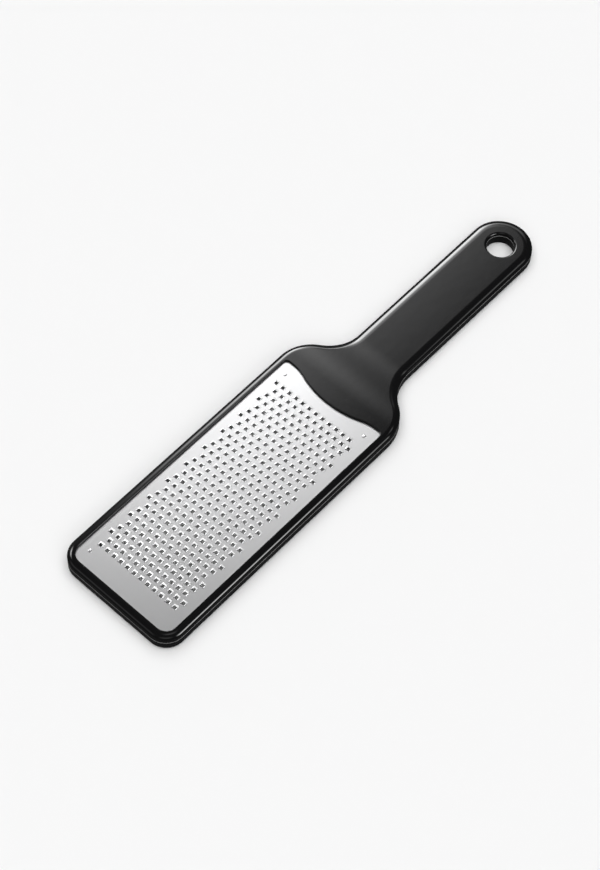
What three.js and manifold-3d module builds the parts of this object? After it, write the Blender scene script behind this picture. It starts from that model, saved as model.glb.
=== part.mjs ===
// Flat hand grater: a stainless plate of raised teeth held between two glossy plastic shells.
// Millimetres. +X runs from the tip to the handle end, +Z is up and the underside lies on z = 0.
import * as THREE from 'three';
import { mergeVertices } from 'three/addons/utils/BufferGeometryUtils.js';
import Module from 'manifold-3d';

const wasm = await Module();
wasm.setup();

// Whole tool
const TOTAL_LENGTH = 265.7;
const PADDLE_WIDTH = 63.4;
const HANDLE_WIDTH = 29.3;
const PADDLE_HEIGHT = 9.7;
const HANDLE_HEIGHT = 7.4;
const SEAM_HEIGHT = 5.4;
const TIP_CORNER_RADIUS = 9.5;
const NECK_LENGTH = 33;
const NECK_LEVEL = 4;

// Edges of the shells
const RIM_ROUND_WIDTH = 3;
const RIM_ROUND_HEIGHT = 1.9;
const HANDLE_ROUND_WIDTH = 4.2;
const BASE_ROUND = 1.6;
const SEAM_BEVEL = 0.35;
const SEAM_LAND = 0.05;

// Opening over the plate
const WINDOW_LENGTH = 133.2;
const TIP_RIM = 3.85;
const SIDE_RIM = 3.6;
const WINDOW_CORNER_RADIUS = 5.5;
const WINDOW_EAR_RADIUS = 2;
const WINDOW_EAR_WIDTH = 3.8;
const SCOOP_DEPTH = 4.5;
const SCOOP_INNER_SHARE = 0.71;
const NECK_SETBACK = 0.3;
const LIP_THICKNESS = 1;

// Plate
const PLATE_THICKNESS = 0.5;
const PLATE_BORDER = 1.8;
const MARK_RADIUS = 0.9;
const MARK_HEIGHT = 0.2;
const MARK_FROM_SIDE = 4.9;
const MARK_FROM_TIP = 6.9;
const MARK_FROM_EAR = 6.1;

// Teeth
const TOOTH_ROWS = 30;
const TEETH_PER_ROW = 12;
const STAGGER_STEPS = 3;
const TOOTH_HOLE = 1.25;
const TOOTH_HEIGHT = 0.55;
const TOOTH_BACK = 1.2;
const TOOTH_FLARE = 0.6;
const TEETH_FROM_TIP = 10.9;
const TEETH_FROM_SCOOP = 7.1;
const TEETH_FROM_LEFT = 4.3;
const TEETH_FROM_RIGHT = 5.1;

// Hanging hole
const HOLE_RADIUS = 6.5;
const HOLE_ROUND = 0.9;
const HOLE_WALL = 2.4;

// Inside of the shells
const WALL = 2.2;
const FLOOR = 2;
const CEILING = 1.6;
const NECK_BULKHEAD = 3;
const RIB_THICKNESS = 1.4;
const RIB_SPACING = 14;
const RIB_DROP = 0.6;
const PIN_RADIUS = 1.4;
const BOSS_WALL = 1.7;
const PIN_TIP_GAP = 0.4;
const NECK_PIN_SPACING = 26;
const NECK_PIN_SETBACK = 8;
const HANDLE_PIN_SETBACK = 20;
const CLEARANCE = 0.3;
const OVERCUT = 2;

// Facets
const CORNER_STEPS = 6;
const NECK_STEPS = 7;
const END_STEPS = 9;
const ROUND_STEPS = 4;
const BASE_STEPS = 3;
const SCOOP_STEPS = 6;
const ROUND_SIDES = 24;
const PIN_SIDES = 12;
const MARK_SIDES = 8;

const tipX = -TOTAL_LENGTH / 2;
const endX = TOTAL_LENGTH / 2;
const windowTipX = tipX + TIP_RIM;
const earX = windowTipX + WINDOW_LENGTH;
const scoopX = earX - SCOOP_DEPTH;
const windowHalf = PADDLE_WIDTH / 2 - SIDE_RIM;
const neckStartX = earX + NECK_SETBACK;
const neckEndX = neckStartX + NECK_LENGTH;
const handleHalf = HANDLE_WIDTH / 2;
const holeX = endX - handleHalf;
const plateTop = PADDLE_HEIGHT - LIP_THICKNESS;
const plateUnder = plateTop - PLATE_THICKNESS;
const handleRoundHeight = HANDLE_HEIGHT - SEAM_HEIGHT - SEAM_BEVEL - SEAM_LAND;
const holeRound = Math.min(HOLE_ROUND, handleRoundHeight);

// Points along an arc with the outward direction of the outline; side is -1 on a hollow arc.
function arc(centreX, centreY, radius, from, to, steps, side) {
  const points = [];
  for (let i = 0; i <= steps; i++) {
    const angle = from + (to - from) * i / steps;
    const nx = Math.cos(angle);
    const ny = Math.sin(angle);
    points.push({
      x: centreX + radius * nx,
      y: centreY + radius * ny,
      nx: nx * side,
      ny: ny * side,
    });
  }
  return points;
}

// Half of the tool's outline, from the tip edge to the handle end, on the +Y side.
function bodyHalf() {
  const drop = (PADDLE_WIDTH - HANDLE_WIDTH) / 2;
  const turn = 2 * Math.atan(drop / NECK_LENGTH);
  const radius = NECK_LENGTH / (2 * Math.sin(turn));
  const up = Math.PI / 2;
  const cornerX = tipX + TIP_CORNER_RADIUS;
  const cornerY = PADDLE_WIDTH / 2 - TIP_CORNER_RADIUS;
  const shoulderY = PADDLE_WIDTH / 2 - radius;
  const hollowY = handleHalf + radius;
  return [
    ...arc(cornerX, cornerY, TIP_CORNER_RADIUS, Math.PI, up, CORNER_STEPS, 1),
    ...arc(neckStartX, shoulderY, radius, up, up - turn, NECK_STEPS, 1),
    ...arc(neckEndX, hollowY, radius, -up - turn, -up, NECK_STEPS, -1).slice(1),
    ...arc(holeX, 0, handleHalf, up, 0, END_STEPS, 1),
  ];
}

// Half of the opening's outline, from the tip edge round the ear to the middle of the scoop.
function windowHalfOutline() {
  const scoopHalf = windowHalf - WINDOW_EAR_WIDTH;
  const turn = 2 * Math.atan(SCOOP_DEPTH / scoopHalf);
  const radii = scoopHalf / Math.sin(turn);
  const inner = radii * SCOOP_INNER_SHARE;
  const outer = radii - inner;
  const corner = WINDOW_CORNER_RADIUS;
  const ear = WINDOW_EAR_RADIUS;
  const up = Math.PI / 2;
  return [
    ...arc(windowTipX + corner, windowHalf - corner, corner, Math.PI, up, CORNER_STEPS, 1),
    ...arc(earX - ear, windowHalf - ear, ear, up, 0, CORNER_STEPS, 1),
    ...arc(earX - outer, scoopHalf, outer, 0, -turn, SCOOP_STEPS, 1),
    ...arc(scoopX + inner, 0, inner, Math.PI - turn, Math.PI, SCOOP_STEPS, -1).slice(1),
  ];
}

// Closed outline from a half outline, grown outwards by an amount, anticlockwise from above.
function closedOutline(half, grow) {
  const far = half.map((p) => new THREE.Vector2(p.x + p.nx * grow, p.y + p.ny * grow));
  const near = far.map((p) => new THREE.Vector2(p.x, -p.y));
  return [...near, ...far.slice(0, -1).reverse()];
}

// Value that changes smoothly from the paddle to the handle along the neck.
function alongNeck(x, atPaddle, atHandle) {
  const share = THREE.MathUtils.smoothstep(x, neckStartX + NECK_LEVEL, neckEndX);
  return atPaddle + (atHandle - atPaddle) * share;
}

function topHeight(x) {
  return alongNeck(x, PADDLE_HEIGHT, HANDLE_HEIGHT);
}

// One level of a lofted body: the half outline drawn in by an inset, at a height, and mirrored.
function level(half, inset, height) {
  const far = half.map((p) => {
    const d = inset(p.x);
    return new THREE.Vector3(p.x - p.nx * d, p.y - p.ny * d, height(p.x));
  });
  const near = far.map((p) => new THREE.Vector3(p.x, -p.y, p.z));
  return [...near, ...far.slice(0, -1).reverse()];
}

// Closed body through levels from the bottom to the top, capped by strips across the width.
function loft(levels) {
  const count = levels[0].length;
  const middle = (count - 1) / 2;
  const last = (levels.length - 1) * count;
  const index = [];
  for (let k = 0; k + 1 < levels.length; k++) {
    for (let i = 0; i < count; i++) {
      const a = k * count + i;
      const b = k * count + (i + 1) % count;
      index.push(a, b, b + count, a, b + count, a + count);
    }
  }
  for (let i = 0; i < middle; i++) {
    const across = 2 * middle - i;
    index.push(across, i + 1, i);
    index.push(last + i, last + i + 1, last + across);
    if (i + 1 < middle) {
      index.push(across, across - 1, i + 1);
      index.push(last + i + 1, last + across - 1, last + across);
    }
  }
  const geometry = new THREE.BufferGeometry().setFromPoints(levels.flat());
  geometry.setIndex(index);
  return solid(geometry);
}

// Closed manifold body from a three.js geometry.
function solid(geometry) {
  geometry.deleteAttribute('normal');
  geometry.deleteAttribute('uv');
  const merged = mergeVertices(geometry, 1e-4);
  const index = merged.index.array;
  const kept = [];
  for (let i = 0; i < index.length; i += 3) {
    const [a, b, c] = [index[i], index[i + 1], index[i + 2]];
    if (a !== b && b !== c && c !== a) {
      kept.push(a, b, c);
    }
  }
  return new wasm.Manifold(new wasm.Mesh({
    numProp: 3,
    vertProperties: new Float32Array(merged.attributes.position.array),
    triVerts: new Uint32Array(kept),
  }));
}

function prism(outline, bottom, top) {
  const shape = new THREE.Shape(outline);
  const options = { depth: top - bottom, bevelEnabled: false };
  return solid(new THREE.ExtrudeGeometry(shape, options).translate(0, 0, bottom));
}

function block(fromX, toX, halfWidth, bottom, top) {
  const geometry = new THREE.BoxGeometry(toX - fromX, 2 * halfWidth, top - bottom);
  return solid(geometry.translate((fromX + toX) / 2, 0, (bottom + top) / 2));
}

function rod(x, y, radius, bottom, top, sides) {
  const geometry = new THREE.CylinderGeometry(radius, radius, top - bottom, sides);
  geometry.rotateX(Math.PI / 2);
  return solid(geometry.translate(x, y, (bottom + top) / 2));
}

// Turned body about a vertical line through the hanging hole.
function turned(profile) {
  const points = profile.map(([radius, z]) => new THREE.Vector2(radius, z));
  const geometry = new THREE.LatheGeometry(points, ROUND_SIDES);
  geometry.rotateX(Math.PI / 2);
  return solid(geometry.translate(holeX, 0, 0));
}

// Rounded lip of the hanging hole from the bore out to a face, for one turned profile.
function holeLip(face, direction) {
  const points = [];
  for (let i = 0; i <= ROUND_STEPS; i++) {
    const angle = Math.PI / 2 * i / ROUND_STEPS;
    const radius = HOLE_RADIUS + holeRound * (1 - Math.cos(angle));
    points.push([radius, face - direction * holeRound * (1 - Math.sin(angle))]);
  }
  return points;
}

function upperHoleCut() {
  return turned([
    [0, SEAM_HEIGHT - OVERCUT],
    [HOLE_RADIUS + SEAM_BEVEL, SEAM_HEIGHT - OVERCUT],
    [HOLE_RADIUS + SEAM_BEVEL, SEAM_HEIGHT],
    [HOLE_RADIUS, SEAM_HEIGHT + SEAM_BEVEL],
    ...holeLip(HANDLE_HEIGHT, 1),
    [HOLE_RADIUS + holeRound, HANDLE_HEIGHT + OVERCUT],
    [0, HANDLE_HEIGHT + OVERCUT],
  ]);
}

function lowerHoleCut() {
  return turned([
    [0, -OVERCUT],
    [HOLE_RADIUS + holeRound, -OVERCUT],
    ...holeLip(0, -1).reverse(),
    [HOLE_RADIUS, SEAM_HEIGHT - SEAM_BEVEL],
    [HOLE_RADIUS + SEAM_BEVEL, SEAM_HEIGHT],
    [HOLE_RADIUS + SEAM_BEVEL, SEAM_HEIGHT + OVERCUT],
    [0, SEAM_HEIGHT + OVERCUT],
  ]);
}

const outline = bodyHalf();
const opening = windowHalfOutline();
const plateEdge = closedOutline(opening, PLATE_BORDER);
const cavityStartX = earX + PLATE_BORDER + CLEARANCE + NECK_BULKHEAD;

// Places of the moulded pins and the bosses they enter.
const handleSpan = holeX - neckEndX;
const pins = [
  [cavityStartX + NECK_PIN_SETBACK, NECK_PIN_SPACING / 2],
  [cavityStartX + NECK_PIN_SETBACK, -NECK_PIN_SPACING / 2],
  [neckEndX + HANDLE_PIN_SETBACK, 0],
  [holeX - HANDLE_PIN_SETBACK, 0],
];

function upperShell() {
  const levels = [
    level(outline, () => SEAM_BEVEL, () => SEAM_HEIGHT),
    level(outline, () => 0, () => SEAM_HEIGHT + SEAM_BEVEL),
  ];
  for (let i = 0; i <= ROUND_STEPS; i++) {
    const angle = Math.PI / 2 * i / ROUND_STEPS;
    levels.push(level(
      outline,
      (x) => alongNeck(x, RIM_ROUND_WIDTH, HANDLE_ROUND_WIDTH) * (1 - Math.cos(angle)),
      (x) => topHeight(x) - alongNeck(x, RIM_ROUND_HEIGHT, handleRoundHeight) * (1 - Math.sin(angle)),
    ));
  }
  const pocket = closedOutline(opening, PLATE_BORDER + CLEARANCE);
  const hollow = loft([
    level(outline, () => WALL, () => SEAM_HEIGHT - OVERCUT),
    level(outline, () => WALL, (x) => topHeight(x) - CEILING),
  ]);
  const reach = block(cavityStartX, endX, PADDLE_WIDTH, 0, PADDLE_HEIGHT);
  const holeBoss = rod(holeX, 0, HOLE_RADIUS + HOLE_WALL, 0, PADDLE_HEIGHT, ROUND_SIDES);
  let shell = loft(levels)
    .subtract(prism(closedOutline(opening, 0), 0, PADDLE_HEIGHT + OVERCUT))
    .subtract(prism(pocket, 0, plateTop));
  let cavity = hollow.intersect(reach).subtract(holeBoss);
  for (const [x, y] of pins) {
    const boss = PIN_RADIUS + CLEARANCE + BOSS_WALL;
    cavity = cavity.subtract(rod(x, y, boss, 0, PADDLE_HEIGHT, PIN_SIDES));
  }
  shell = shell.subtract(cavity).subtract(upperHoleCut());
  for (const [x, y] of pins) {
    const inside = SEAM_HEIGHT + SEAM_BEVEL;
    shell = shell.add(rod(x, y, PIN_RADIUS, FLOOR + PIN_TIP_GAP, inside, PIN_SIDES));
  }
  return shell;
}

function lowerShell() {
  const levels = [];
  for (let i = 0; i <= BASE_STEPS; i++) {
    const angle = Math.PI / 2 * i / BASE_STEPS;
    const inset = BASE_ROUND * (1 - Math.sin(angle));
    const height = BASE_ROUND * (1 - Math.cos(angle));
    levels.push(level(outline, () => inset, () => height));
  }
  levels.push(level(outline, () => 0, () => SEAM_HEIGHT - SEAM_BEVEL));
  levels.push(level(outline, () => SEAM_BEVEL, () => SEAM_HEIGHT));
  const inside = loft([
    level(outline, () => WALL, () => FLOOR),
    level(outline, () => WALL, () => SEAM_HEIGHT + OVERCUT),
  ]);
  const reach = block(cavityStartX, endX, PADDLE_WIDTH, 0, PADDLE_HEIGHT);
  const holeBoss = rod(holeX, 0, HOLE_RADIUS + HOLE_WALL, 0, PADDLE_HEIGHT, ROUND_SIDES);
  let cavity = inside.intersect(reach).subtract(holeBoss);
  const ribCount = Math.max(1, Math.round(handleSpan / RIB_SPACING));
  for (let i = 0; i < ribCount; i++) {
    const x = neckEndX + handleSpan * i / ribCount;
    const half = RIB_THICKNESS / 2;
    cavity = cavity.subtract(block(x - half, x + half, PADDLE_WIDTH, 0, SEAM_HEIGHT - RIB_DROP));
  }
  for (const [x, y] of pins) {
    const boss = PIN_RADIUS + CLEARANCE + BOSS_WALL;
    const bore = rod(x, y, PIN_RADIUS + CLEARANCE, FLOOR, PADDLE_HEIGHT, PIN_SIDES);
    cavity = cavity.subtract(rod(x, y, boss, 0, SEAM_HEIGHT - CLEARANCE, PIN_SIDES)).add(bore);
  }
  const ledge = prism(plateEdge, SEAM_HEIGHT - OVERCUT, plateUnder);
  return loft(levels)
    .add(ledge)
    .subtract(prism(closedOutline(opening, 0), -OVERCUT, PADDLE_HEIGHT))
    .subtract(cavity)
    .subtract(lowerHoleCut());
}

// One face of the plate as triangles, with the places of teeth and marks left open.
function addFace(points, triangles, contour, gaps, z, upwards) {
  const holes = gaps.map((gap) => [...gap].reverse());
  const start = points.length;
  for (const p of [contour, ...holes].flat()) {
    points.push(new THREE.Vector3(p.x, p.y, z));
  }
  for (const [a, b, c] of THREE.ShapeUtils.triangulateShape(contour, holes)) {
    triangles.push(start + a, start + (upwards ? b : c), start + (upwards ? c : b));
  }
}

// Adds flat polygons given as lists of corners, anticlockwise from outside.
function addPolygons(points, triangles, polygons) {
  for (const polygon of polygons) {
    const start = points.length;
    points.push(...polygon);
    for (let i = 1; i + 1 < polygon.length; i++) {
      triangles.push(start, start + i, start + i + 1);
    }
  }
}

// Grating tooth: a square hole whose edge lifts into a U-shaped lip that faces the tip.
function tooth(x, y) {
  const half = TOOTH_HOLE / 2;
  const back = TOOTH_HOLE + TOOTH_BACK;
  const wide = half + TOOTH_FLARE;
  const at = (dx, dy, z) => new THREE.Vector3(x + dx, y + dy, z);
  const side = (z) => ({
    frontNear: at(0, -half, z),
    frontFar: at(0, half, z),
    lipNear: at(TOOTH_HOLE, -half, z + TOOTH_HEIGHT),
    lipFar: at(TOOTH_HOLE, half, z + TOOTH_HEIGHT),
    backNear: at(back, -wide, z),
    backFar: at(back, wide, z),
  });
  const t = side(plateTop);
  const u = side(plateUnder);
  const footprint = [t.frontNear, t.backNear, t.backFar, t.frontFar];
  return {
    footprint: footprint.map((p) => new THREE.Vector2(p.x, p.y)),
    polygons: [
      [t.lipNear, t.backNear, t.backFar, t.lipFar],
      [t.frontNear, t.backNear, t.lipNear],
      [t.frontFar, t.lipFar, t.backFar],
      [u.lipFar, u.backFar, u.backNear, u.lipNear],
      [u.lipNear, u.backNear, u.frontNear],
      [u.backFar, u.lipFar, u.frontFar],
      [t.frontNear, u.frontNear, u.frontFar, t.frontFar],
      [t.lipFar, u.lipFar, u.lipNear, t.lipNear],
      [t.lipNear, u.lipNear, u.frontNear, t.frontNear],
      [t.frontFar, u.frontFar, u.lipFar, t.lipFar],
    ],
  };
}

// Round pressed mark: a low bump on the top face.
function mark(x, y) {
  const ringPoints = [];
  for (let i = 0; i < MARK_SIDES; i++) {
    const angle = 2 * Math.PI * i / MARK_SIDES;
    const dx = MARK_RADIUS * Math.cos(angle);
    const dy = MARK_RADIUS * Math.sin(angle);
    ringPoints.push(new THREE.Vector3(x + dx, y + dy, plateTop));
  }
  const crown = new THREE.Vector3(x, y, plateTop + MARK_HEIGHT);
  return {
    footprint: ringPoints.map((p) => new THREE.Vector2(p.x, p.y)),
    polygons: ringPoints.map((p, i) => [p, ringPoints[(i + 1) % MARK_SIDES], crown]),
  };
}

function toothField() {
  const firstX = windowTipX + TEETH_FROM_TIP;
  const lastX = scoopX - TEETH_FROM_SCOOP - TOOTH_HOLE;
  const rowPitch = (lastX - firstX) / (TOOTH_ROWS - 1);
  const span = TEETH_PER_ROW - 1 + (STAGGER_STEPS - 1) / STAGGER_STEPS;
  const firstY = windowHalf - TEETH_FROM_LEFT - TOOTH_HOLE / 2;
  const lastY = TEETH_FROM_RIGHT + TOOTH_HOLE / 2 - windowHalf;
  const toothPitch = (firstY - lastY) / span;
  const teeth = [];
  for (let row = 0; row < TOOTH_ROWS; row++) {
    const shift = (row + 1) % STAGGER_STEPS / STAGGER_STEPS;
    for (let i = 0; i < TEETH_PER_ROW; i++) {
      teeth.push(tooth(firstX + row * rowPitch, firstY - (i + shift) * toothPitch));
    }
  }
  return teeth;
}

function graterPlate() {
  const teeth = toothField();
  const markY = windowHalf - MARK_FROM_SIDE;
  const marks = [
    mark(windowTipX + MARK_FROM_TIP, markY),
    mark(earX - MARK_FROM_EAR, markY),
    mark(earX - MARK_FROM_EAR, -markY),
  ];
  const points = [];
  const triangles = [];
  const toothGaps = teeth.map((entry) => entry.footprint);
  const markGaps = marks.map((entry) => entry.footprint);
  addFace(points, triangles, plateEdge, [...toothGaps, ...markGaps], plateTop, true);
  addFace(points, triangles, plateEdge, toothGaps, plateUnder, false);
  for (const entry of [...teeth, ...marks]) {
    addPolygons(points, triangles, entry.polygons);
  }
  const sides = plateEdge.map((p, i) => {
    const next = plateEdge[(i + 1) % plateEdge.length];
    return [
      new THREE.Vector3(p.x, p.y, plateUnder),
      new THREE.Vector3(next.x, next.y, plateUnder),
      new THREE.Vector3(next.x, next.y, plateTop),
      new THREE.Vector3(p.x, p.y, plateTop),
    ];
  });
  addPolygons(points, triangles, sides);
  const geometry = new THREE.BufferGeometry().setFromPoints(points);
  geometry.setIndex(triangles);
  return solid(geometry);
}

function piece(name, body, colour, roughness, metalness) {
  const data = body.getMesh();
  const geometry = new THREE.BufferGeometry();
  geometry.setAttribute('position', new THREE.BufferAttribute(new Float32Array(data.vertProperties), 3));
  geometry.setIndex(new THREE.BufferAttribute(new Uint32Array(data.triVerts), 1));
  geometry.computeVertexNormals();
  const material = new THREE.MeshStandardMaterial({ color: colour, roughness, metalness });
  const mesh = new THREE.Mesh(geometry, material);
  mesh.name = name;
  return mesh;
}

const grater = new THREE.Group();
grater.name = 'hand_grater';
grater.add(piece('lower_shell', lowerShell(), 0x121214, 0.2, 0));
grater.add(piece('upper_shell', upperShell(), 0x121214, 0.2, 0));
grater.add(piece('grater_plate', graterPlate(), 0xc6c8ca, 0.28, 1));

export default grater;
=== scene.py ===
"""Flat hand grater: a plate of raised teeth held between two glossy plastic shells."""
import math
from collections import namedtuple

import bmesh
import bpy
from bpy.props import FloatProperty, FloatVectorProperty, IntProperty, PointerProperty
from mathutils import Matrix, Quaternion, Vector


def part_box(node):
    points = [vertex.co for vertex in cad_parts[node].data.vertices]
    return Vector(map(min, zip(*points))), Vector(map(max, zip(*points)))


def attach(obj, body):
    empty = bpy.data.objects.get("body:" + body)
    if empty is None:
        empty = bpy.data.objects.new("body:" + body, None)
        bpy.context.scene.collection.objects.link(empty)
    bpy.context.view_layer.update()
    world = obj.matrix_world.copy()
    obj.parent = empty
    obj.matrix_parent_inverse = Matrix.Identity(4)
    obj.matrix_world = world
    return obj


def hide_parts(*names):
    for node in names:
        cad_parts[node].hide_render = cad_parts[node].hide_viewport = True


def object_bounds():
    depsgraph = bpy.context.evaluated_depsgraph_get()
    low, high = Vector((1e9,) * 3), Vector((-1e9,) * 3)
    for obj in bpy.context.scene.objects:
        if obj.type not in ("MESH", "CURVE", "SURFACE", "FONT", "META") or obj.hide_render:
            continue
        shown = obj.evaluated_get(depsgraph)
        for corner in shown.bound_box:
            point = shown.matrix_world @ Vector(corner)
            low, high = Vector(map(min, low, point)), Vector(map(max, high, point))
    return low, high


bl_info = {
    "name": "Hand Grater",
    "version": (1, 0, 0),
    "blender": (4, 5, 0),
    "location": "3D View > Sidebar > Grater",
    "description": "Builds a flat hand grater from its shells, its toothed plate and a studio stage",
    "category": "Add Mesh",
}

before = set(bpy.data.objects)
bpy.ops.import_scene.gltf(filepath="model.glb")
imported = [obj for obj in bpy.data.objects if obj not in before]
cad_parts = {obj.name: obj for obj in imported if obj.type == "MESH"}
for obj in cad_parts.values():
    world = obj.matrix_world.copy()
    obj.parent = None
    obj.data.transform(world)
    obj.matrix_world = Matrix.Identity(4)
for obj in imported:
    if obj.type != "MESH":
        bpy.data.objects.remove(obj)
cad_low, cad_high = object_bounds()
plate_low, plate_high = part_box("grater_plate")

# Facets
CORNER_STEPS = 20
NECK_STEPS = 28
END_STEPS = 40
EAR_STEPS = 12
SCOOP_STEPS = 20
HOLE_SIDES = 80
MARK_SIDES = 20
ROUND_STEPS = 10
LIP_STEPS = 4

# Working tolerances, in metres and radians
JOIN = 1e-7
FLAT = 1e-6
SUPPORT = 0.0001
SHARP_ANGLE = math.radians(32)
FOLD_ANGLE = math.radians(8)

# Fixed relations of the shells and the plate, in metres
PLATE_BORDER = 0.0018
PLATE_THICKNESS = 0.0005
LIP_OVER_PLATE = 0.001
NECK_SETBACK = 0.0003
RIM_HEIGHT = plate_low.z + PLATE_THICKNESS + LIP_OVER_PLATE

# Fixed relations of a tooth, in metres and as shares of its height
STAGGER_STEPS = 3
LIP_CUT = 0.0001
LIP_START = 0.0001
LIP_TOE = 0.00005
RING_INSET = 0.00005
CREST_SHARE = 0.8
CREST_START_SHARE = 0.6
HOLE_START_SHARE = 0.8
HOLE_MARK = 1

# Angle and axis
QUARTER_TURN = math.pi / 2
Z_AXIS = (0.0, 0.0, 1.0)

# Stage, in metres and radians
CAMERA_PLACE = (-0.409515, -0.335422, 0.841944)
CAMERA_AIM = (-0.0203, -0.0025, 0.0087)
CAMERA_ROLL = math.radians(2.25)
CAMERA_LENS = 93.76
CAMERA_SENSOR = 36.0
FLOOR_REACH = 15.0
FLOOR_DROP = 0.0001
FLOOR_CELLS = 4
LIGHT_AIM = (0.0, 0.0, 0.0)

# Studio walls as the gloss shows them: direction, brightness and the fade between, as a cosine
BACKDROP_DIRECTION = (0.42, 0.90, 0.05)
BACKDROP_LEVEL = 0.2
BACKDROP_EDGE = 0.55
BACKDROP_FULL = 0.95
ROOM_LEVEL = 0.06

# Middle of a softbox and its fade from there, as shares of its width
SOFT_MIDDLE = 0.5
SOFT_EDGE = 0.5
SOFT_FULL = 0.1

Arc = namedtuple("Arc", "x y radius start sweep side steps")
Hairlines = namedtuple("Hairlines", "along across contrast")
Noise = namedtuple("Noise", "scale detail")
Relief = namedtuple("Relief", "strength distance")
Softbox = namedtuple("Softbox", "name place target width height glow")
Sun = namedtuple("Sun", "name direction strength spread")

# Finishes
MASK_LOW = 0.3
MASK_HIGH = 0.7
HAIRLINE_DETAIL = 3.0
PLASTIC_HANDLED = Noise(55.0, 4.0)
PLASTIC_LINES = Hairlines(60.0, 2500.0, 1.4)
PLASTIC_ROUGHNESS = (0.10, 0.15)
PLASTIC_FLOW = Noise(240.0, 2.0)
PLASTIC_RELIEF = Relief(0.25, 0.00004)
PLASTIC_IOR = 1.5
SEAM_ROUGHNESS = 0.6
STEEL_LINES = Hairlines(90.0, 6000.0, 1.0)
STEEL_ROUGHNESS = (0.30, 0.34)
STEEL_RELIEF = Relief(0.05, 0.00001)
FLOOR_MOTTLE = Noise(3.0, 2.0)
FLOOR_SHADE = 0.995

# Lights: places and sizes in metres
SUNS = (
    Sun("soft_key", (0.12, 0.15, 0.98), 1.5, math.radians(70)),
    Sun("soft_fill", (-0.30, -0.35, 0.89), 1.8, math.radians(80)),
)
SOFTBOXES = (
    Softbox("far_softbox", (0.65, 0.823, 0.803), (0.65, 0.0, 0.0), 0.80, 0.53, 12.1),
    Softbox("far_glow", (0.66, 0.675, 0.931), (0.66, 0.0, 0.0), 0.87, 0.77, 3.6),
    Softbox("far_end_card", (0.70, 0.80, 0.64), LIGHT_AIM, 1.00, 0.24, 9.0),
    Softbox("far_tip_card", (-0.13, 0.92, 0.84), LIGHT_AIM, 0.55, 0.44, 10.0),
    Softbox("low_end_card", (0.94, 0.38, 0.64), LIGHT_AIM, 0.50, 0.45, 1.4),
    Softbox("low_near_card", (0.115, -0.82, 0.28), LIGHT_AIM, 0.76, 0.60, 11.0),
    Softbox("high_near_card", (0.72, -0.40, 1.00), LIGHT_AIM, 0.35, 0.30, 1.8),
    Softbox("camera_side_fill", (-0.82, -0.66, 0.60), LIGHT_AIM, 1.30, 0.70, 0.8),
    Softbox("overhead_fill", (-0.05, -0.10, 1.20), LIGHT_AIM, 0.60, 0.50, 0.9),
    Softbox("tip_side_fill", (-0.95, 0.50, 0.55), LIGHT_AIM, 1.30, 0.70, 0.5),
)


def size(name, description, default):
    """Length property of a piece."""
    return FloatProperty(
        name=name,
        description=description,
        default=default,
        min=0.0,
        precision=5,
        unit="LENGTH",
    )


def tint(name, description, default):
    """Linear colour property of a finish."""
    return FloatVectorProperty(
        name=name,
        description=description,
        default=default,
        min=0.0,
        max=1.0,
        size=3,
        subtype="COLOR",
    )


class BodySizes(bpy.types.PropertyGroup):
    """Sizes of the two plastic shells."""

    length: size("Length", "From the tip to the handle end", cad_high.x - cad_low.x)
    paddle_width: size("Paddle width", "Across the paddle", cad_high.y - cad_low.y)
    paddle_height: size("Paddle height", "Underside to the top of the rim", RIM_HEIGHT)
    handle_width: size("Handle width", "Across the handle", 0.0293)
    handle_height: size("Handle height", "Underside to the top of the handle", 0.0074)
    seam_height: size("Seam height", "Underside to the seam of the shells", 0.0054)
    tip_radius: size("Tip corner radius", "Corners of the paddle seen from above", 0.0095)
    neck_start: size(
        "Neck start",
        "Where the outline leaves the paddle, from the middle of the length",
        plate_high.x - PLATE_BORDER + NECK_SETBACK,
    )
    neck_length: size("Neck length", "From the paddle to the straight handle", 0.033)
    neck_level: size("Level neck", "Stretch of the neck that keeps the paddle's height", 0.004)
    rim_round: size("Rim rounding", "Width of the paddle's upper rounding", 0.003)
    rim_drop: size("Rim rounding drop", "Height of the paddle's upper rounding", 0.0019)
    handle_round: size("Handle rounding", "Width of the handle's upper rounding", 0.0042)
    handle_drop: size("Handle rounding drop", "Height of the handle's upper rounding", 0.0016)
    base_round: size("Base rounding", "Radius of the lower edge", 0.0016)
    seam_bevel: size("Seam bevel", "Bevel of each shell at the seam", 0.00025)
    hole_radius: size("Hole radius", "Radius of the hanging hole", 0.0065)
    hole_round: size("Hole rounding", "Radius of the hanging hole's lips", 0.0009)


class OpeningSizes(bpy.types.PropertyGroup):
    """Sizes of the opening over the plate."""

    corner_radius: size("Corner radius", "Corners at the tip", 0.0055)
    ear_radius: size("Ear radius", "Corners beside the scoop", 0.002)
    ear_width: size("Ear width", "From the side to the start of the scoop", 0.0038)
    scoop_depth: size("Scoop depth", "How far the neck reaches over the plate", 0.0045)
    scoop_share: FloatProperty(
        name="Scoop share",
        description="Share of the scoop's bends in the middle one",
        default=0.71,
        min=0.1,
        max=0.9,
        subtype="FACTOR",
    )
    lip_round: size("Lip rounding", "Radius of the lip over the plate", 0.00025)
    under_round: size("Underside rounding", "Radius of the opening's lower edge", 0.0005)
    clearance: size("Clearance", "Gap between the plate's edge and its pocket", 0.0003)


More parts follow.
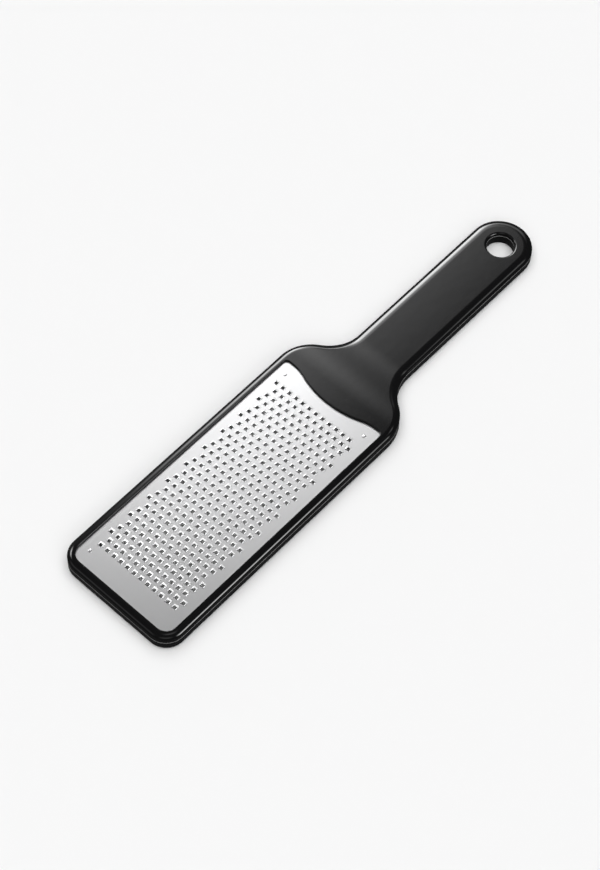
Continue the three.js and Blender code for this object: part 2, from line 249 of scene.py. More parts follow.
class PlateSizes(bpy.types.PropertyGroup):
    """Sizes of the toothed steel plate."""

    thickness: size("Thickness", "Thickness of the sheet", PLATE_THICKNESS)
    rows: IntProperty(name="Rows", description="Rows of teeth", default=30, min=2)
    row_teeth: IntProperty(name="Teeth in a row", description="Teeth in each row", default=12, min=2)
    tooth_hole: size("Tooth hole", "Hole side that the spacing of the teeth counts with", 0.00125)
    tooth_height: size("Tooth height", "Height of the lip over the sheet", 0.0003)
    hole_front: size("Hole front", "Row line to the front edge of the hole", 0.00014)
    hole_back: size("Hole back", "Row line to the back edge of the hole", 0.0016)
    hole_near: size("Hole near side", "Middle of the tooth to the hole's -Y side", 0.00101)
    hole_far: size("Hole far side", "Middle of the tooth to the hole's +Y side", 0.0007)
    crest_back: size("Back crest", "Row line to the crest behind the hole", 0.00168)
    crest_near: size("Near crest", "Middle of the tooth to the crest of its -Y arm", 0.00106)
    crest_far: size("Far crest", "Middle of the tooth to the crest of its +Y arm", 0.00105)
    lip_back: size("Back foot", "Row line to the foot of the back", 0.0025)
    lip_near: size("Near foot", "Middle of the tooth to the foot of its -Y arm", 0.00113)
    lip_far: size("Far foot", "Middle of the tooth to the foot of its +Y arm", 0.00115)
    from_tip: size("Teeth from tip", "Opening's tip edge to the first row", 0.0109)
    from_scoop: size("Teeth from scoop", "Last row to the middle of the scoop", 0.0071)
    from_far: size("Teeth from far side", "Opening's +Y side to the nearest hole", 0.0043)
    from_near: size("Teeth from near side", "Opening's -Y side to the nearest hole", 0.0051)
    mark_radius: size("Mark radius", "Radius of the pressed marks", 0.0009)
    mark_height: size("Mark height", "Height of the pressed marks", 0.0002)
    mark_from_side: size("Mark from side", "Opening's side to a mark", 0.0049)
    mark_from_tip: size("Mark from tip", "Opening's tip edge to a mark", 0.0069)
    mark_from_ear: size("Mark from ear", "Opening's handle end to a mark", 0.0061)


class Finishes(bpy.types.PropertyGroup):
    """Colours of the finishes and of the stage."""

    plastic: tint("Plastic", "Glossy moulded plastic", (0.0025, 0.0025, 0.0027))
    plastic_worn: tint("Handled plastic", "Plastic dulled by handling", (0.004, 0.004, 0.0043))
    steel: tint("Steel", "Satin stainless steel", (0.62, 0.62, 0.625))
    steel_grain: tint("Steel grain", "Darker lines of the rolled grain", (0.59, 0.59, 0.595))
    # Pale grey of the seam band is a painted highlight: it stands in for the bright line that light
    # draws along the seam.
    seam_painted_highlight: tint("Seam edge", "Matt edge of the shells along their seam", (0.20, 0.20, 0.20))
    floor: tint("Floor", "Pale studio floor", (0.90, 0.90, 0.90))
    floor_bounce: tint("Floor bounce", "Floor as it lights the things on it", (0.40, 0.40, 0.40))


def along_neck(body, x, paddle, handle):
    """Value that changes smoothly from the paddle to the handle."""
    start = body.neck_start + body.neck_level
    share = (x - start) / (body.neck_length - body.neck_level)
    share = min(1.0, max(0.0, share))
    return paddle + (handle - paddle) * share * share * (3.0 - 2.0 * share)


def mirrored(arc):
    """Same arc on the other side of the tool, drawn the other way round."""
    return arc._replace(y=-arc.y, start=-(arc.start + arc.sweep))


def both_sides(half):
    """Closed outline from the arcs of its +Y half."""
    return half + [mirrored(arc) for arc in reversed(half)]


def body_outline(body):
    """Outline of the tool from above, from the tip edge round the handle end."""
    tip = -body.length / 2
    side = body.paddle_width / 2
    radius = body.tip_radius
    grip = body.handle_width / 2
    turn = 2 * math.atan((side - grip) / body.neck_length)
    bend = body.neck_length / (2 * math.sin(turn))
    neck_end = body.neck_start + body.neck_length
    hole_x = body.length / 2 - grip
    return both_sides([
        Arc(tip + radius, side - radius, radius, math.pi, -QUARTER_TURN, 1, CORNER_STEPS),
        Arc(body.neck_start, side - bend, bend, QUARTER_TURN, -turn, 1, NECK_STEPS),
        Arc(neck_end, grip + bend, bend, -QUARTER_TURN - turn, turn, -1, NECK_STEPS),
        Arc(hole_x, 0.0, grip, QUARTER_TURN, -QUARTER_TURN, 1, END_STEPS),
    ])


def opening_outline(opening):
    """Outline of the opening over the plate, from the tip edge round the scoop."""
    tip = plate_low.x + PLATE_BORDER
    ear_x = plate_high.x - PLATE_BORDER
    side = plate_high.y - PLATE_BORDER
    corner = opening.corner_radius
    ear = opening.ear_radius
    scoop_half = side - opening.ear_width
    turn = 2 * math.atan(opening.scoop_depth / scoop_half)
    bends = scoop_half / math.sin(turn)
    inner = bends * opening.scoop_share
    outer = bends - inner
    scoop_x = ear_x - opening.scoop_depth
    return both_sides([
        Arc(tip + corner, side - corner, corner, math.pi, -QUARTER_TURN, 1, CORNER_STEPS),
        Arc(ear_x - ear, side - ear, ear, QUARTER_TURN, -QUARTER_TURN, 1, EAR_STEPS),
        Arc(ear_x - outer, scoop_half, outer, 0.0, -turn, 1, SCOOP_STEPS),
        Arc(scoop_x + inner, 0.0, inner, math.pi - turn, turn, -1, SCOOP_STEPS),
    ])


def circle(x, y, radius, sides):
    """Closed round outline, which its last edge closes."""
    return [Arc(x, y, radius, 0.0, 2 * math.pi * (sides - 1) / sides, 1, sides - 1)]


def hole_outline(body):
    """Outline of the hanging hole."""
    return circle(body.length / 2 - body.handle_width / 2, 0.0, body.hole_radius, HOLE_SIDES)


def start_mesh():
    """Empty mesh whose vertices remember their place on an outline and its outward direction."""
    bm = bmesh.new()
    bm.verts.layers.float_vector.new("place")
    bm.verts.layers.float_vector.new("outward")
    return bm


def trace(bm, arcs):
    """Draws arcs end to end as one closed loop and returns its edges."""
    place = bm.verts.layers.float_vector["place"]
    outward = bm.verts.layers.float_vector["outward"]
    loop = []
    for arc in arcs:
        centre = Vector((arc.x, arc.y, 0.0))
        start = centre + arc.radius * Vector((math.cos(arc.start), math.sin(arc.start), 0.0))
        if not loop or (loop[-1].co - start).length > JOIN:
            loop.append(bm.verts.new(start))
        swept = loop[-1:]
        for _ in range(arc.steps):
            turned = bmesh.ops.spin(
                bm,
                geom=swept[-1:],
                cent=centre,
                axis=Z_AXIS,
                angle=arc.sweep / arc.steps,
                steps=1,
            )
            swept.append(turned["geom_last"][0])
        for vert in swept:
            vert[outward] = (vert.co - centre) * (arc.side / arc.radius)
        loop.extend(swept[1:])
    for vert in loop:
        vert[place] = vert.co
    edges = []
    for vert, after in zip(loop, loop[1:] + loop[:1]):
        edge = bm.edges.get((vert, after))
        edges.append(edge or bm.edges.new((vert, after)))
    return edges


def value_at(value, x):
    """Value of a level, which is a number or a function of the place along the tool."""
    return value(x) if callable(value) else value


def set_level(bm, verts, inset, height):
    """Moves vertices inwards from their outline and to a height."""
    place = bm.verts.layers.float_vector["place"]
    outward = bm.verts.layers.float_vector["outward"]
    for vert in verts:
        vert.co = vert[place] - vert[outward] * value_at(inset, vert[place].x)
        vert.co.z = value_at(height, vert.co.x)


def loft(bm, arcs, levels):
    """Wall through levels of an inset and a height, extruded from the first; returns the last edges."""
    edges = trace(bm, arcs)
    verts = {vert for edge in edges for vert in edge.verts}
    set_level(bm, verts, *levels[0])
    for inset, height in levels[1:]:
        grown = bmesh.ops.extrude_edge_only(bm, edges=edges)["geom"]
        verts = [part for part in grown if isinstance(part, bmesh.types.BMVert)]
        edges = [part for part in grown if isinstance(part, bmesh.types.BMEdge)]
        set_level(bm, verts, inset, height)
    return edges


def quarter(steps):
    """Sine and cosine of even steps through a quarter turn."""
    angles = [QUARTER_TURN * step / steps for step in range(steps + 1)]
    return [(math.sin(angle), math.cos(angle)) for angle in angles]


def top_edge(radius, top):
    """Levels of a lip that falls from a flat top into an opening."""
    levels = [(-radius - SUPPORT, top)]
    for sine, cosine in quarter(LIP_STEPS):
        levels.append((-radius * (1.0 - sine), top - radius * (1.0 - cosine)))
    return levels


def bottom_edge(radius):
    """Levels of a lip that rises from the flat underside into an opening."""
    return [(inset, -height) for inset, height in top_edge(radius, 0.0)]


def fill_flat(bm, height):
    """Closes the open edges that lie at one height with a flat face."""
    edges = []
    for edge in bm.edges:
        level = all(abs(vert.co.z - height) < FLAT for vert in edge.verts)
        if level and len(edge.link_faces) < 2:
            edges.append(edge)
    bmesh.ops.triangle_fill(bm, use_beauty=True, edges=edges, normal=Z_AXIS)


def bridge_neck(bm, body, edges):
    """Strips across the neck between the two sides of the top loop."""
    place = bm.verts.layers.float_vector["place"]
    start = body.neck_start + body.neck_level
    end = body.neck_start + body.neck_length
    along = [vert[place].x for edge in edges for vert in edge.verts]
    first = max(x for x in along if x <= start + FLAT)
    sides = []
    for edge in edges:
        if all(first - FLAT < vert[place].x < end + FLAT for vert in edge.verts):
            sides.append(edge)
    bmesh.ops.bridge_loops(bm, edges=sides)


def smooth_edges(bm, angle):
    """Smooth faces with crisp edges where they meet at more than an angle."""
    for face in bm.faces:
        face.smooth = True
    for edge in bm.edges:
        edge.smooth = edge.calc_face_angle(0.0) < angle


def add_piece(context, bm, name, material, node, angle=SHARP_ANGLE):
    """Closed piece that stands for a node of the frame."""
    bmesh.ops.remove_doubles(bm, verts=bm.verts, dist=JOIN)
    bmesh.ops.recalc_face_normals(bm, faces=bm.faces)
    if not all(edge.is_manifold for edge in bm.edges):
        raise RuntimeError(f"{name} isn't closed")
    smooth_edges(bm, angle)
    for layer in list(bm.verts.layers.float_vector.values()):
        bm.verts.layers.float_vector.remove(layer)
    mesh = bpy.data.meshes.new(name)
    bm.to_mesh(mesh)
    bm.free()
    mesh.materials.append(material)
    piece = bpy.data.objects.new(name, mesh)
    context.scene.collection.objects.link(piece)
    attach(piece, "root")
    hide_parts(node)


def build_lower(body, opening, plate):
    """Lower shell: base edge, side wall, ledge under the plate and half of the hanging hole."""
    bm = start_mesh()
    radius = body.base_round
    outside = [(radius + SUPPORT, 0.0)]
    for sine, cosine in quarter(ROUND_STEPS):
        outside.append((radius * (1.0 - sine), radius * (1.0 - cosine)))
    outside.append((0.0, body.seam_height - body.seam_bevel))
    outside.append((body.seam_bevel, body.seam_height))
    loft(bm, body_outline(body), outside)
    plate_under = body.paddle_height - LIP_OVER_PLATE - plate.thickness
    inside = bottom_edge(opening.under_round)
    inside.append((0.0, plate_under))
    inside.append((-PLATE_BORDER, plate_under))
    inside.append((-PLATE_BORDER, body.seam_height))
    loft(bm, opening_outline(opening), inside)
    hole = bottom_edge(body.hole_round)
    hole.append((0.0, body.seam_height - body.seam_bevel))
    hole.append((-body.seam_bevel, body.seam_height))
    loft(bm, hole_outline(body), hole)
    fill_flat(bm, 0.0)
    fill_flat(bm, body.seam_height)
    return bm


def build_upper(body, opening):
    """Upper shell: rounded top, lip over the plate, sloping neck and half of the hanging hole."""
    bm = start_mesh()

    def top(x):
        return along_neck(body, x, body.paddle_height, body.handle_height)

    def width(x):
        return along_neck(body, x, body.rim_round, body.handle_round)

    def drop(x):
        return along_neck(body, x, body.rim_drop, body.handle_drop)

    outside = [
        (body.seam_bevel, body.seam_height),
        (0.0, body.seam_height + body.seam_bevel),
    ]
    for sine, cosine in quarter(ROUND_STEPS):
        outside.append((
            lambda x, cosine=cosine: width(x) * (1.0 - cosine),
            lambda x, sine=sine: top(x) - drop(x) * (1.0 - sine),
        ))
    outside.append((lambda x: width(x) + SUPPORT, top))
    crown = loft(bm, body_outline(body), outside)
    bridge_neck(bm, body, crown)
    pocket = PLATE_BORDER + opening.clearance
    plate_top = body.paddle_height - LIP_OVER_PLATE
    inside = top_edge(opening.lip_round, body.paddle_height)
    inside.append((0.0, plate_top))
    inside.append((-pocket, plate_top))
    inside.append((-pocket, body.seam_height))
    loft(bm, opening_outline(opening), inside)
    hole = top_edge(body.hole_round, body.handle_height)
    hole.append((0.0, body.seam_height + body.seam_bevel))
    hole.append((-body.seam_bevel, body.seam_height))
    loft(bm, hole_outline(body), hole)
    fill_flat(bm, body.paddle_height)
    fill_flat(bm, body.handle_height)
    fill_flat(bm, body.seam_height)
    return bm


def tooth_ring(front, back, near, far, rise, lift):
    """Eight places round a tooth, from the start of its near arm along that arm to the back."""
    return [
        (front + LIP_START, -near, lift),
        (back - LIP_CUT, -near, rise),
        (back, LIP_CUT - near, rise),
        (back, far - LIP_CUT, rise),
        (back - LIP_CUT, far, rise),
        (front + LIP_START, far, lift),
        (front, far - LIP_CUT, 0.0),
        (front, LIP_CUT - near, 0.0),
    ]


def inset_ring(bm, face, corner, places):
    """Insets a face and sets its new ring of corners on places, the first one from a corner."""
    bmesh.ops.inset_individual(bm, faces=[face], thickness=RING_INSET)
    verts = list(face.verts)
    first = min(verts, key=lambda vert: (vert.co - Vector(corner)).length)
    start = verts.index(first)
    for vert, spot in zip(verts[start:] + verts[:start], places):
        vert.co = spot


def build_tooth(bm, plate, row_pitch, tooth_pitch):
    """One cell of the plate with its tooth, around the middle of its row line."""
    made = bmesh.ops.create_grid(bm, x_segments=1, y_segments=1, size=0.5)["verts"]
    bmesh.ops.scale(bm, vec=(row_pitch, tooth_pitch, 1.0), verts=made)
    across = []
    for edge in bm.edges:
        start, end = edge.verts
        if abs(start.co.x - end.co.x) < JOIN:
            across.append(edge)
    bmesh.ops.bisect_edges(bm, edges=across, cuts=STAGGER_STEPS - 1)
    bmesh.ops.translate(bm, vec=(plate.lip_back / 2, 0.0, 0.0), verts=bm.verts)
    face = next(iter(bm.faces))
    front = plate.hole_front
    top = plate.tooth_height
    top_start = HOLE_START_SHARE * top
    crest = CREST_SHARE * top
    crest_start = CREST_START_SHARE * top
    rings = [
        tooth_ring(front - LIP_TOE, plate.lip_back, plate.lip_near, plate.lip_far, 0.0, 0.0),
        tooth_ring(front, plate.crest_back, plate.crest_near, plate.crest_far, crest, crest_start),
        tooth_ring(front + LIP_TOE, plate.hole_back, plate.hole_near, plate.hole_far, top, top_start),
    ]
    corner = ((plate.lip_back - row_pitch) / 2, -tooth_pitch / 2, 0.0)
    for places in rings:
        inset_ring(bm, face, corner, places)
        corner = places[0]
    face.material_index = HOLE_MARK


def build_plate(body, opening, plate):
    """Steel sheet: staggered rows of teeth, a plain margin with pressed marks, and its thickness."""
    bm = start_mesh()
    tip = plate_low.x + PLATE_BORDER
    ear_x = plate_high.x - PLATE_BORDER
    side = plate_high.y - PLATE_BORDER
    hole = plate.tooth_hole
    first_x = tip + plate.from_tip
    last_x = ear_x - opening.scoop_depth - plate.from_scoop - hole
    row_pitch = (last_x - first_x) / (plate.rows - 1)
    first_y = side - plate.from_far - hole / 2
    last_y = plate.from_near + hole / 2 - side
    spaces = plate.row_teeth - 1 + (STAGGER_STEPS - 1) / STAGGER_STEPS
    tooth_pitch = (first_y - last_y) / spaces
    build_tooth(bm, plate, row_pitch, tooth_pitch)
    cell = bm.verts[:] + bm.edges[:] + bm.faces[:]
    for row in range(plate.rows):
        shift = (row + 1) % STAGGER_STEPS / STAGGER_STEPS
        for tooth in range(plate.row_teeth):
            copy = bmesh.ops.duplicate(bm, geom=cell)["geom"]
            verts = [part for part in copy if isinstance(part, bmesh.types.BMVert)]
            move = (first_x + row * row_pitch, first_y - (tooth + shift) * tooth_pitch, 0.0)
            bmesh.ops.translate(bm, vec=move, verts=verts)
    bmesh.ops.delete(bm, geom=[part for part in cell if isinstance(part, bmesh.types.BMVert)])
    bmesh.ops.remove_doubles(bm, verts=bm.verts, dist=FLAT)
    mark_y = side - plate.mark_from_side
    marks = [
        (tip + plate.mark_from_tip, mark_y),
        (ear_x - plate.mark_from_ear, mark_y),
        (ear_x - plate.mark_from_ear, -mark_y),
    ]
    radius = plate.mark_radius
    bump = []
    for sine, cosine in quarter(LIP_STEPS)[:-1]:
        bump.append((radius * (1.0 - cosine), plate.mark_height * sine))
    for x, y in marks:
        crown = loft(bm, circle(x, y, radius, MARK_SIDES), bump)
        bmesh.ops.contextual_create(bm, geom=crown)
    edge = trace(bm, opening_outline(opening))
    set_level(bm, {vert for part in edge for vert in part.verts}, -PLATE_BORDER, 0.0)
    fill_flat(bm, 0.0)
    holes = [face for face in bm.faces if face.material_index == HOLE_MARK]
    bmesh.ops.delete(bm, geom=holes, context="FACES")
    bmesh.ops.recalc_face_normals(bm, faces=bm.faces)
    walls = bmesh.ops.extrude_face_region(bm, geom=bm.faces[:])["geom"]
    under = [part for part in walls if isinstance(part, bmesh.types.BMVert)]
    bmesh.ops.translate(bm, vec=(0.0, 0.0, -plate.thickness), verts=under)
    plate_top = body.paddle_height - LIP_OVER_PLATE
    bmesh.ops.translate(bm, vec=(0.0, 0.0, plate_top), verts=bm.verts)
    return bm


def hairline_group():
    """Node group that puts out a mask of fine lines stretched along the tool."""
    name = "fine_hairlines"
    if name in bpy.data.node_groups:
        return bpy.data.node_groups[name]
    group = bpy.data.node_groups.new(name, "ShaderNodeTree")
    for label in ("Along", "Across", "Contrast"):
        group.interface.new_socket(label, in_out="INPUT", socket_type="NodeSocketFloat")
    group.interface.new_socket("Mask", in_out="OUTPUT", socket_type="NodeSocketFloat")
    nodes = group.nodes
    links = group.links
    entry = nodes.new("NodeGroupInput")
    leave = nodes.new("NodeGroupOutput")
    place = nodes.new("ShaderNodeTexCoord")
    scale = nodes.new("ShaderNodeCombineXYZ")
    links.new(entry.outputs["Along"], scale.inputs["X"])
    links.new(entry.outputs["Across"], scale.inputs["Y"])
    links.new(entry.outputs["Across"], scale.inputs["Z"])
    stretch = nodes.new("ShaderNodeVectorMath")
    stretch.operation = "MULTIPLY"
    links.new(place.outputs["Object"], stretch.inputs[0])
    links.new(scale.outputs["Vector"], stretch.inputs[1])
    noise = nodes.new("ShaderNodeTexNoise")
    noise.inputs["Scale"].default_value = 1.0
    noise.inputs["Detail"].default_value = HAIRLINE_DETAIL
    links.new(stretch.outputs["Vector"], noise.inputs["Vector"])
    power = nodes.new("ShaderNodeMath")
    power.operation = "POWER"
    links.new(noise.outputs["Fac"], power.inputs[0])
    links.new(entry.outputs["Contrast"], power.inputs[1])
    links.new(power.outputs["Value"], leave.inputs["Mask"])
    return group


def new_material(name):
    """Empty node material with its Principled shader."""
    material = bpy.data.materials.new(name)
    material.use_nodes = True
    shader = material.node_tree.nodes["Principled BSDF"]
    return material, material.node_tree.nodes, material.node_tree.links, shader


def add_hairlines(nodes, values):
    """Fine line mask with its own values."""
    lines = nodes.new("ShaderNodeGroup")
    lines.node_tree = hairline_group()
    lines.inputs["Along"].default_value = values.along
    lines.inputs["Across"].default_value = values.across
    lines.inputs["Contrast"].default_value = values.contrast
    return lines.outputs["Mask"]


def add_noise(nodes, links, values):
    """Noise mask on the piece's own coordinates."""
    place = nodes.new("ShaderNodeTexCoord")
    noise = nodes.new("ShaderNodeTexNoise")
    noise.inputs["Scale"].default_value = values.scale
    noise.inputs["Detail"].default_value = values.detail
    links.new(place.outputs["Object"], noise.inputs["Vector"])
    return noise.outputs["Fac"]


def add_level_mask(nodes, links, height, reach):
    """Mask of a thin band round one level of a piece."""
    place = nodes.new("ShaderNodeTexCoord")
    axes = nodes.new("ShaderNodeSeparateXYZ")
    band = nodes.new("ShaderNodeMath")
    band.operation = "COMPARE"
    band.inputs[1].default_value = height
    band.inputs[2].default_value = reach
    links.new(place.outputs["Object"], axes.inputs["Vector"])
    links.new(axes.outputs["Z"], band.inputs[0])
    return band.outputs["Value"]


def add_mix(nodes, links, mask, target, kind="RGBA"):
    """Mix of two colours or values by a mask, linked to a socket."""
    mix = nodes.new("ShaderNodeMix")
    mix.data_type = kind
    links.new(mask, mix.inputs["Factor"])
    links.new(mix.outputs["Result"], target)
    return mix


def add_tints(nodes, links, mask, first, second, target):
    """Colour between two tints by a mask, linked to a socket."""
    mix = add_mix(nodes, links, mask, target)
    mix.inputs["A"].default_value = (*first, 1.0)
    mix.inputs["B"].default_value = (*second, 1.0)


def add_range(nodes, links, mask, limits, target):
    """Value between two limits by a mask, linked to a socket."""
    span = nodes.new("ShaderNodeMapRange")
    span.inputs["From Min"].default_value = MASK_LOW
    span.inputs["From Max"].default_value = MASK_HIGH
    span.inputs["To Min"].default_value = limits[0]
    span.inputs["To Max"].default_value = limits[1]
    links.new(mask, span.inputs["Value"])
    links.new(span.outputs["Result"], target)


def add_bump(nodes, links, height, relief, shader):
    """Shallow relief on the shader's normal."""
    bump = nodes.new("ShaderNodeBump")
    bump.inputs["Strength"].default_value = relief.strength
    bump.inputs["Distance"].default_value = relief.distance
    links.new(height, bump.inputs["Height"])
    links.new(bump.outputs["Normal"], shader.inputs["Normal"])


def plastic_material(finishes, body):
    """Glossy moulded plastic: near black, faint flow in the gloss, hairlines, and a matt seam band
    painted pale grey as a painted highlight.
    """
    name = "glossy_black_plastic"
    if name in bpy.data.materials:
        return bpy.data.materials[name]
    material, nodes, links, shader = new_material(name)
    # Thin band round the seam: painted pale grey as a painted highlight line, and made matt.
    seam = add_level_mask(nodes, links, body.seam_height, body.seam_bevel)
    colour = add_mix(nodes, links, seam, shader.inputs["Base Color"])
    colour.inputs["B"].default_value = (*finishes.seam_painted_highlight, 1.0)
    handled = add_noise(nodes, links, PLASTIC_HANDLED)
    add_tints(nodes, links, handled, finishes.plastic, finishes.plastic_worn, colour.inputs["A"])
    polish = add_mix(nodes, links, seam, shader.inputs["Roughness"], "FLOAT")
    polish.inputs["B"].default_value = SEAM_ROUGHNESS
    lines = add_hairlines(nodes, PLASTIC_LINES)
    add_range(nodes, links, lines, PLASTIC_ROUGHNESS, polish.inputs["A"])
    flow = add_noise(nodes, links, PLASTIC_FLOW)
    add_bump(nodes, links, flow, PLASTIC_RELIEF, shader)
    shader.inputs["IOR"].default_value = PLASTIC_IOR
    return material


def steel_material(finishes):
    """Satin stainless sheet with rolled grain along the tool."""
    material, nodes, links, shader = new_material("satin_stainless_steel")
    lines = add_hairlines(nodes, STEEL_LINES)
    add_tints(nodes, links, lines, finishes.steel, finishes.steel_grain, shader.inputs["Base Color"])
    add_range(nodes, links, lines, STEEL_ROUGHNESS, shader.inputs["Roughness"])
    add_bump(nodes, links, lines, STEEL_RELIEF, shader)
    shader.inputs["Metallic"].default_value = 1.0
    return material


def floor_material(finishes):
    """Matt pale floor with a faint mottle, less bright in the light that it throws back."""
    material, nodes, links, shader = new_material("pale_studio_floor")
    path = nodes.new("ShaderNodeLightPath")
    seen = path.outputs["Is Camera Ray"]
    for way in ("Is Glossy Ray", "Is Transmission Ray"):
        either = nodes.new("ShaderNodeMath")
        either.operation = "MAXIMUM"
        links.new(seen, either.inputs[0])
        links.new(path.outputs[way], either.inputs[1])
        seen = either.outputs["Value"]
    colour = add_mix(nodes, links, seen, shader.inputs["Base Color"])
    colour.inputs["A"].default_value = (*finishes.floor_bounce, 1.0)
    mottle = add_noise(nodes, links, FLOOR_MOTTLE)
    shade = tuple(FLOOR_SHADE * part for part in finishes.floor)
    add_tints(nodes, links, mottle, finishes.floor, shade, colour.inputs["B"])
    shader.inputs["Roughness"].default_value = 1.0
    shader.inputs["Specular IOR Level"].default_value = 0.0
    return material


def aim(obj, place, target):
    """Places a light or a camera and turns it to a point."""
    obj.location = place
    obj.rotation_mode = "QUATERNION"
    obj.rotation_quaternion = (Vector(target) - Vector(place)).to_track_quat("-Z", "Y")


def add_floor(context, finishes):
    """Large plain floor just under the tool."""
    bm = bmesh.new()
    bmesh.ops.create_grid(bm, x_segments=FLOOR_CELLS, y_segments=FLOOR_CELLS, size=FLOOR_REACH)
    bmesh.ops.translate(bm, vec=(0.0, 0.0, -FLOOR_DROP), verts=bm.verts)
    mesh = bpy.data.meshes.new("studio_floor")
    bm.to_mesh(mesh)
    bm.free()
    mesh.materials.append(floor_material(finishes))
    floor = bpy.data.objects.new("studio_floor", mesh)
    floor.visible_glossy = False
    context.scene.collection.objects.link(floor)


def add_camera(context):
    """Camera at the photograph's viewing angle."""
    data = bpy.data.cameras.new("photo_camera")
    data.lens = CAMERA_LENS
    data.sensor_width = CAMERA_SENSOR
    camera = bpy.data.objects.new("photo_camera", data)
    aim(camera, CAMERA_PLACE, CAMERA_AIM)
    camera.rotation_quaternion @= Quaternion(Z_AXIS, CAMERA_ROLL)
    context.scene.collection.objects.link(camera)
    context.scene.camera = camera


def soften(light):
    """Makes a softbox fade from its middle to its four edges."""
    light.use_nodes = True
    nodes = light.node_tree.nodes
    links = light.node_tree.links
    face = nodes.new("ShaderNodeNewGeometry")
    split = nodes.new("ShaderNodeSeparateXYZ")
    links.new(face.outputs["Parametric"], split.inputs["Vector"])
    product = nodes.new("ShaderNodeMath")
    product.operation = "MULTIPLY"
    for axis, socket in zip("XY", product.inputs):
        offset = nodes.new("ShaderNodeMath")
        offset.operation = "SUBTRACT"
        offset.inputs[1].default_value = SOFT_MIDDLE
        links.new(split.outputs[axis], offset.inputs[0])
        away = nodes.new("ShaderNodeMath")
        away.operation = "ABSOLUTE"
        links.new(offset.outputs["Value"], away.inputs[0])
        fade = nodes.new("ShaderNodeMapRange")
        fade.interpolation_type = "SMOOTHSTEP"
        fade.inputs["From Min"].default_value = SOFT_EDGE
        fade.inputs["From Max"].default_value = SOFT_FULL
        links.new(away.outputs["Value"], fade.inputs["Value"])
        links.new(fade.outputs["Result"], socket)
    links.new(product.outputs["Value"], nodes["Emission"].inputs["Strength"])


def add_lights(context):
    """Soft suns for the matt surfaces and softboxes that the gloss shows."""
    for sun in SUNS:
        data = bpy.data.lights.new(sun.name, "SUN")
        data.energy = sun.strength
        data.angle = sun.spread
        lamp = bpy.data.objects.new(sun.name, data)
        aim(lamp, sun.direction, LIGHT_AIM)
        lamp.visible_glossy = False
        context.scene.collection.objects.link(lamp)
    for box in SOFTBOXES:
        data = bpy.data.lights.new(box.name, "AREA")
        data.shape = "RECTANGLE"
        data.size = box.width
        data.size_y = box.height
        data.energy = box.glow * math.pi * box.width * box.height
        soften(data)
        lamp = bpy.data.objects.new(box.name, data)
        aim(lamp, box.place, box.target)
        lamp.visible_camera = False
        lamp.visible_diffuse = False
        context.scene.collection.objects.link(lamp)


def add_world(context):
    """Dim studio with a paler backdrop on the far side."""
    world = bpy.data.worlds.new("studio")
    world.use_nodes = True
    nodes = world.node_tree.nodes
    links = world.node_tree.links
    place = nodes.new("ShaderNodeTexCoord")
    facing = nodes.new("ShaderNodeVectorMath")
    facing.operation = "DOT_PRODUCT"
    facing.inputs[1].default_value = Vector(BACKDROP_DIRECTION).normalized()
    links.new(place.outputs["Generated"], facing.inputs[0])
    fade = nodes.new("ShaderNodeMapRange")
    fade.interpolation_type = "SMOOTHSTEP"
    fade.inputs["From Min"].default_value = BACKDROP_EDGE
    fade.inputs["From Max"].default_value = BACKDROP_FULL
    fade.inputs["To Min"].default_value = ROOM_LEVEL
    fade.inputs["To Max"].default_value = BACKDROP_LEVEL
    links.new(facing.outputs["Value"], fade.inputs["Value"])
    links.new(fade.outputs["Result"], nodes["Background"].inputs["Color"])
    context.scene.world = world


class GRATER_OT_lower_body(bpy.types.Operator):
    """Adds the lower plastic shell"""

    bl_idname = "grater.lower_body"
    bl_label = "Lower Body"
    bl_options = {"REGISTER", "UNDO"}

    def execute(self, context):
        scene = context.scene
        bm = build_lower(scene.grater_body, scene.grater_opening, scene.grater_plate)
        plastic = plastic_material(scene.grater_finishes, scene.grater_body)
        add_piece(context, bm, "lower_body", plastic, "lower_shell")
        return {"FINISHED"}


class GRATER_OT_upper_body(bpy.types.Operator):
    """Adds the upper plastic shell"""

    bl_idname = "grater.upper_body"
    bl_label = "Upper Body"
    bl_options = {"REGISTER", "UNDO"}

    def execute(self, context):
        scene = context.scene
        bm = build_upper(scene.grater_body, scene.grater_opening)
        plastic = plastic_material(scene.grater_finishes, scene.grater_body)
        add_piece(context, bm, "upper_body", plastic, "upper_shell")
        return {"FINISHED"}


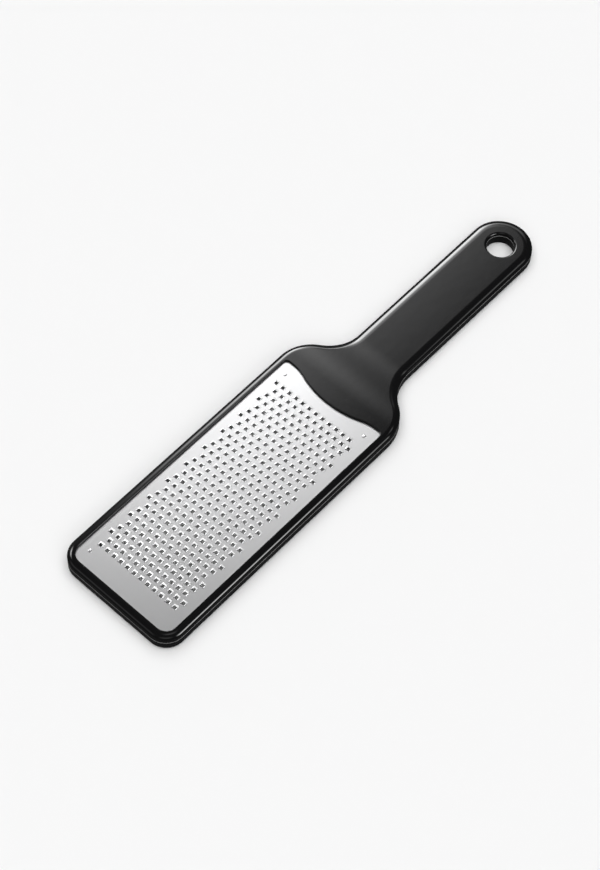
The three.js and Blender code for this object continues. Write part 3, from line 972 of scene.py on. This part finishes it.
class GRATER_OT_toothed_sheet(bpy.types.Operator):
    """Adds the steel plate with its teeth"""

    bl_idname = "grater.toothed_sheet"
    bl_label = "Toothed Sheet"
    bl_options = {"REGISTER", "UNDO"}

    def execute(self, context):
        scene = context.scene
        bm = build_plate(scene.grater_body, scene.grater_opening, scene.grater_plate)
        steel = steel_material(scene.grater_finishes)
        add_piece(context, bm, "toothed_sheet", steel, "grater_plate", FOLD_ANGLE)
        return {"FINISHED"}


class GRATER_OT_stage(bpy.types.Operator):
    """Adds the floor, the lights and the camera"""

    bl_idname = "grater.stage"
    bl_label = "Studio Stage"
    bl_options = {"REGISTER", "UNDO"}

    def execute(self, context):
        context.scene.view_settings.view_transform = "Standard"
        add_floor(context, context.scene.grater_finishes)
        add_world(context)
        add_lights(context)
        add_camera(context)
        return {"FINISHED"}


class GRATER_PT_panel(bpy.types.Panel):
    """Sizes, finishes and pieces of the grater"""

    bl_idname = "GRATER_PT_panel"
    bl_label = "Hand Grater"
    bl_space_type = "VIEW_3D"
    bl_region_type = "UI"
    bl_category = "Grater"

    def draw(self, context):
        layout = self.layout
        scene = context.scene
        for operator in OPERATORS:
            layout.operator(operator.bl_idname)
        for group_name, group in GROUPS.items():
            column = layout.column(align=True)
            for name in group.__annotations__:
                column.prop(getattr(scene, group_name), name)


GROUPS = {
    "grater_body": BodySizes,
    "grater_opening": OpeningSizes,
    "grater_plate": PlateSizes,
    "grater_finishes": Finishes,
}
OPERATORS = (
    GRATER_OT_lower_body,
    GRATER_OT_upper_body,
    GRATER_OT_toothed_sheet,
    GRATER_OT_stage,
)
CLASSES = (*GROUPS.values(), *OPERATORS, GRATER_PT_panel)


def register():
    """Registers the classes and hangs the property groups on the scene."""
    for cls in CLASSES:
        bpy.utils.register_class(cls)
    for name, group in GROUPS.items():
        setattr(bpy.types.Scene, name, PointerProperty(type=group))


def unregister():
    """Takes the property groups and the classes away again."""
    for name in GROUPS:
        delattr(bpy.types.Scene, name)
    for cls in reversed(CLASSES):
        bpy.utils.unregister_class(cls)


def main():
    """Builds the grater and its stage."""
    register()
    bpy.ops.grater.lower_body()
    bpy.ops.grater.upper_body()
    bpy.ops.grater.toothed_sheet()
    bpy.ops.grater.stage()


if __name__ == "__main__":
    main()
